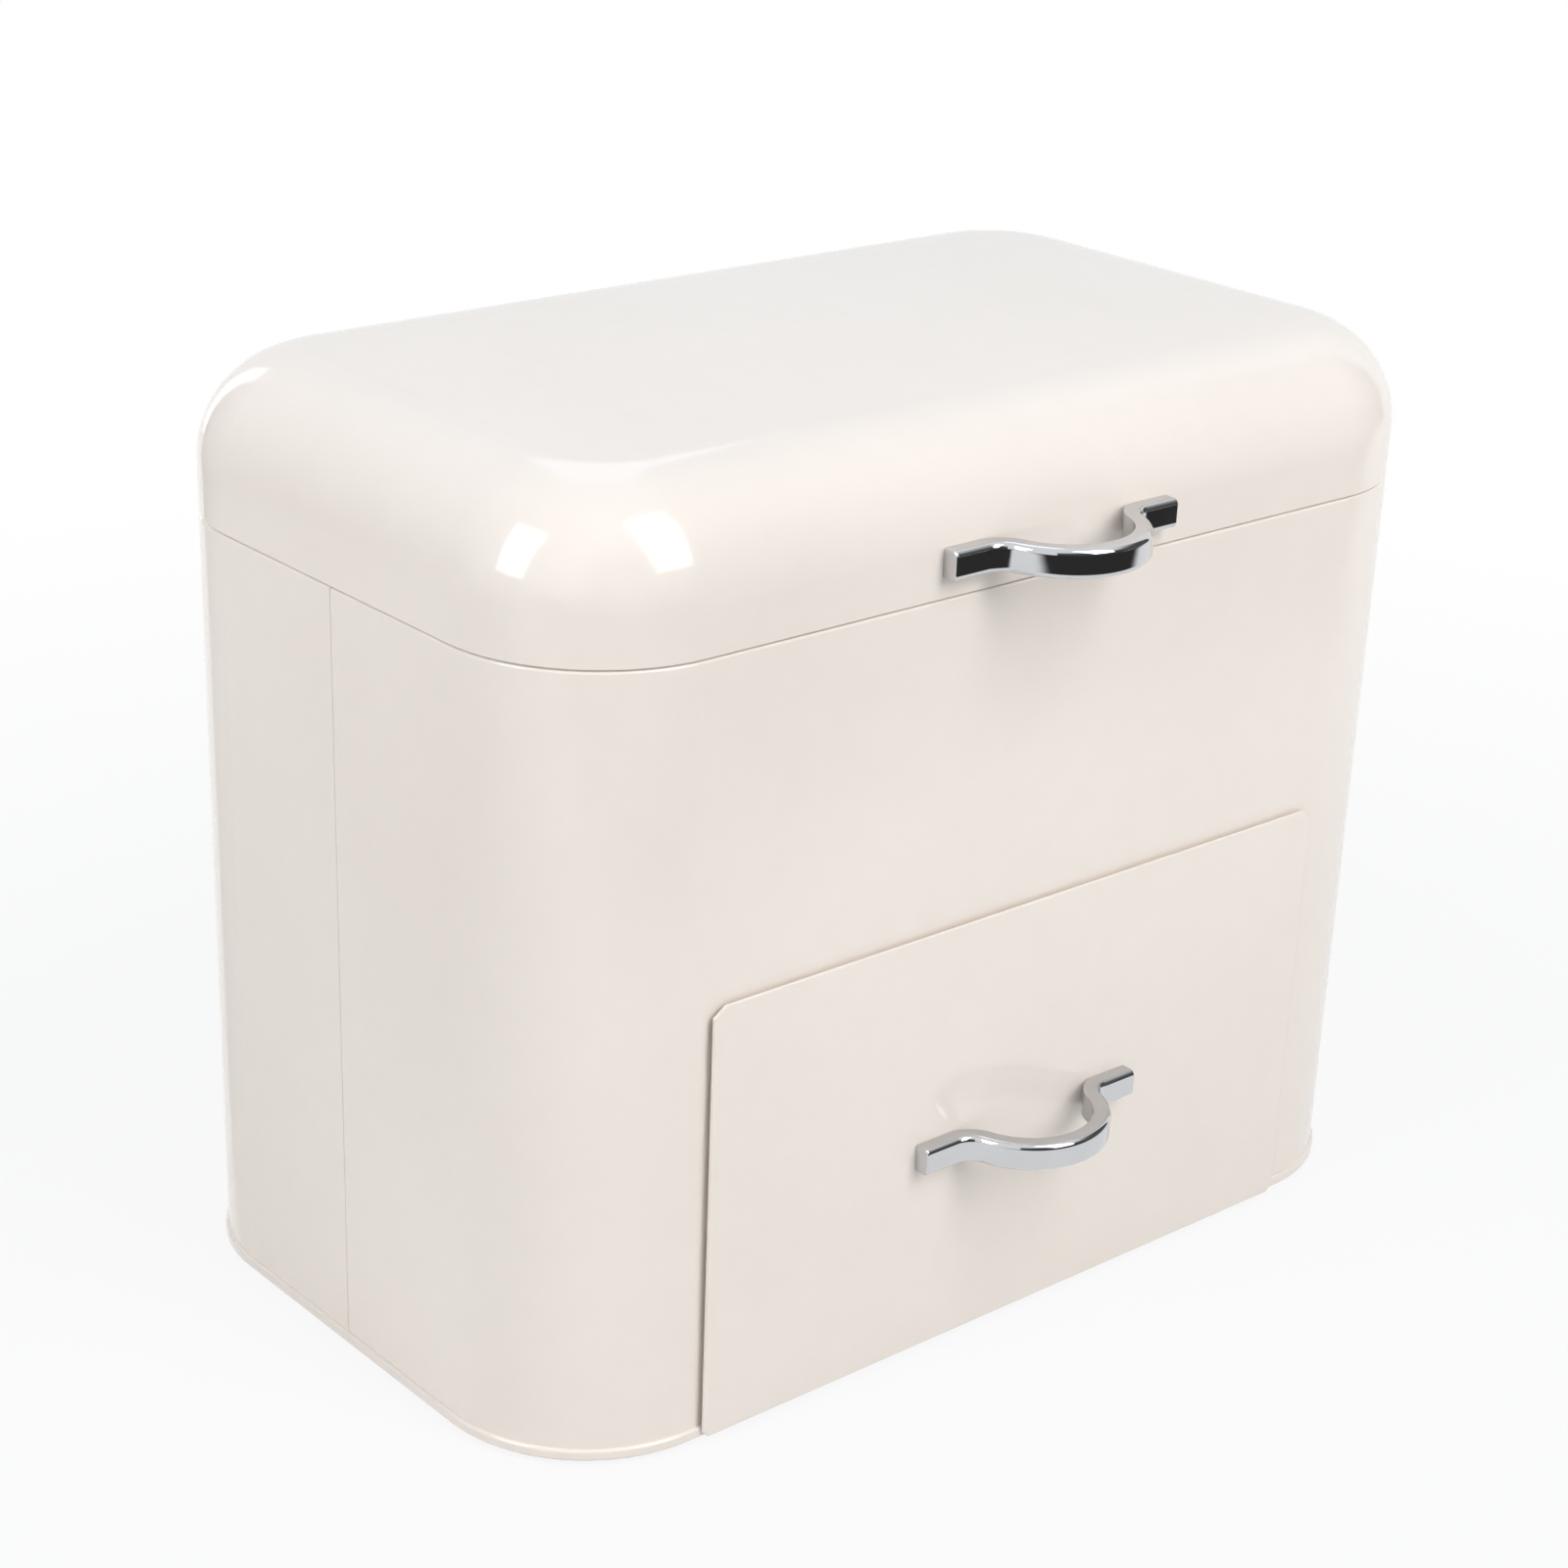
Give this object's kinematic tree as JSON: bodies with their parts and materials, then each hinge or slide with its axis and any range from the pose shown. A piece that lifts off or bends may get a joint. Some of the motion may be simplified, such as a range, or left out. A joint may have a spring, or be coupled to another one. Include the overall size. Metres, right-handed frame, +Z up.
{
  "type": "bread box with drawer",
  "caption": "Enamelled steel bread box with rounded corners, a lift-up lid hinged at the back over a bread compartment, and a full-height drawer below, each with a bow handle.",
  "frame": {"origin": "bottom centre of the whole object's box, handles and hinges included, on the floor", "axes": "+Z up, front with drawer and handles faces -Y, +X to the right seen from the front"},
  "size_m": [0.342, 0.2404, 0.2815],
  "materials": {
    "enamel_cream": "gloss cream enamel on steel sheet",
    "enamel_inner": "thinner satin coat of the same cream, inside",
    "chrome": "polished chrome plate on cast zinc",
    "zinc_steel": "zinc-plated steel",
    "rubber": "matte black rubber"
  },
  "bodies": {
    "body": {"base_pan": "enamel_cream", "body_back_wrap": "enamel_cream", "body_front_wrap": "enamel_cream", "bread_floor": "enamel_inner", "drawer_runner_left": "zinc_steel", "drawer_runner_right": "zinc_steel", "hinge_body_leaf_left": "zinc_steel", "hinge_body_leaf_right": "zinc_steel", "hinge_body_rivets": "zinc_steel", "hinge_pin_left": "zinc_steel", "hinge_pin_right": "zinc_steel", "rubber_feet": "rubber", "seam_strap_left": "enamel_inner", "seam_strap_right": "enamel_inner"},
    "lid": {"hinge_lid_leaf_left": "zinc_steel", "hinge_lid_leaf_right": "zinc_steel", "hinge_lid_rivets": "zinc_steel", "lid_handle": "chrome", "lid_handle_screws": "zinc_steel", "lid_handle_washers": "zinc_steel", "lid_shell": "enamel_cream"},
    "drawer": {"drawer_front": "enamel_cream", "drawer_handle": "chrome", "drawer_handle_screws": "zinc_steel", "drawer_handle_washers": "zinc_steel", "drawer_stops": "enamel_inner", "drawer_tray": "enamel_inner"}
  },
  "joints": [
    {"name": "lid_hinge", "type": "hinge", "parent": "body", "child": "lid", "pos_m": [0, 0.11519, 0.2357], "axis": [-1, 0, 0], "range_deg": [0, 105]},
    {"name": "drawer_slide", "type": "slide", "parent": "body", "child": "drawer", "axis": [0, -1, 0], "range_m": [0, 0.15]}
  ]
}
